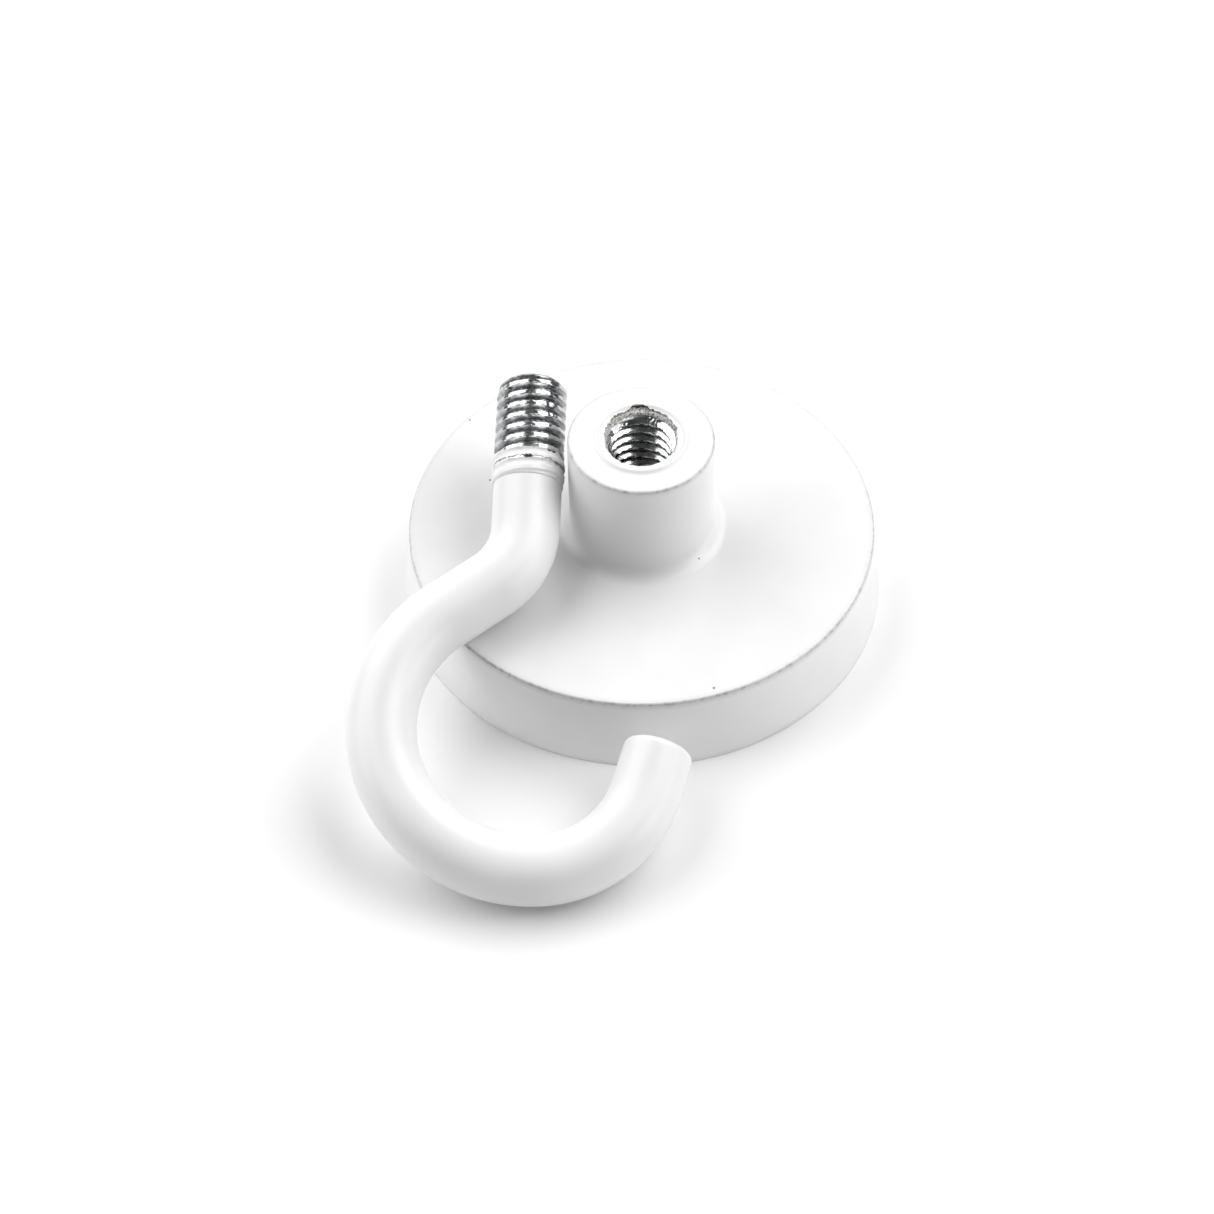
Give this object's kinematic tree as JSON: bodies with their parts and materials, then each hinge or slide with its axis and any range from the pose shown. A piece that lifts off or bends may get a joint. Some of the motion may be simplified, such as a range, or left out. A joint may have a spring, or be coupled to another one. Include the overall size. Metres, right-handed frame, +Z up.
{
  "type": "pot magnet with screw hook",
  "caption": "Round pot magnet with a threaded neck, and its open screw hook lying unscrewed against it.",
  "frame": {"origin": "centre of the magnet's pole face, which stands on the floor", "axes": "+Z up the threaded neck; the loose hook lies towards -Y and -X"},
  "size_m": [0.0448, 0.0571, 0.0188],
  "materials": {
    "ground_steel": "ground",
    "bushing_steel": "turned",
    "white_powder_coat": "semi-gloss powder coat",
    "magnet_nickel": "satin nickel plating",
    "potting_resin": "matte resin",
    "adhesive": "cured glue",
    "zinc_plated_steel": "bright zinc",
    "hook_powder_coat": "semi-gloss powder coat"
  },
  "bodies": {
    "pot_magnet": {"steel_cup": "ground_steel", "threaded_bushing": "bushing_steel", "cup_coating": "white_powder_coat", "magnet_disc": "magnet_nickel", "centring_ring": "potting_resin", "magnet_adhesive": "adhesive"},
    "hook": {"hook_rod": "zinc_plated_steel", "hook_coating": "hook_powder_coat"}
  },
  "joints": [
    {"name": "hook_lift", "type": "slide", "parent": "pot_magnet", "child": "hook", "axis": [0, 0, 1], "range_m": [0, 0.05]}
  ]
}
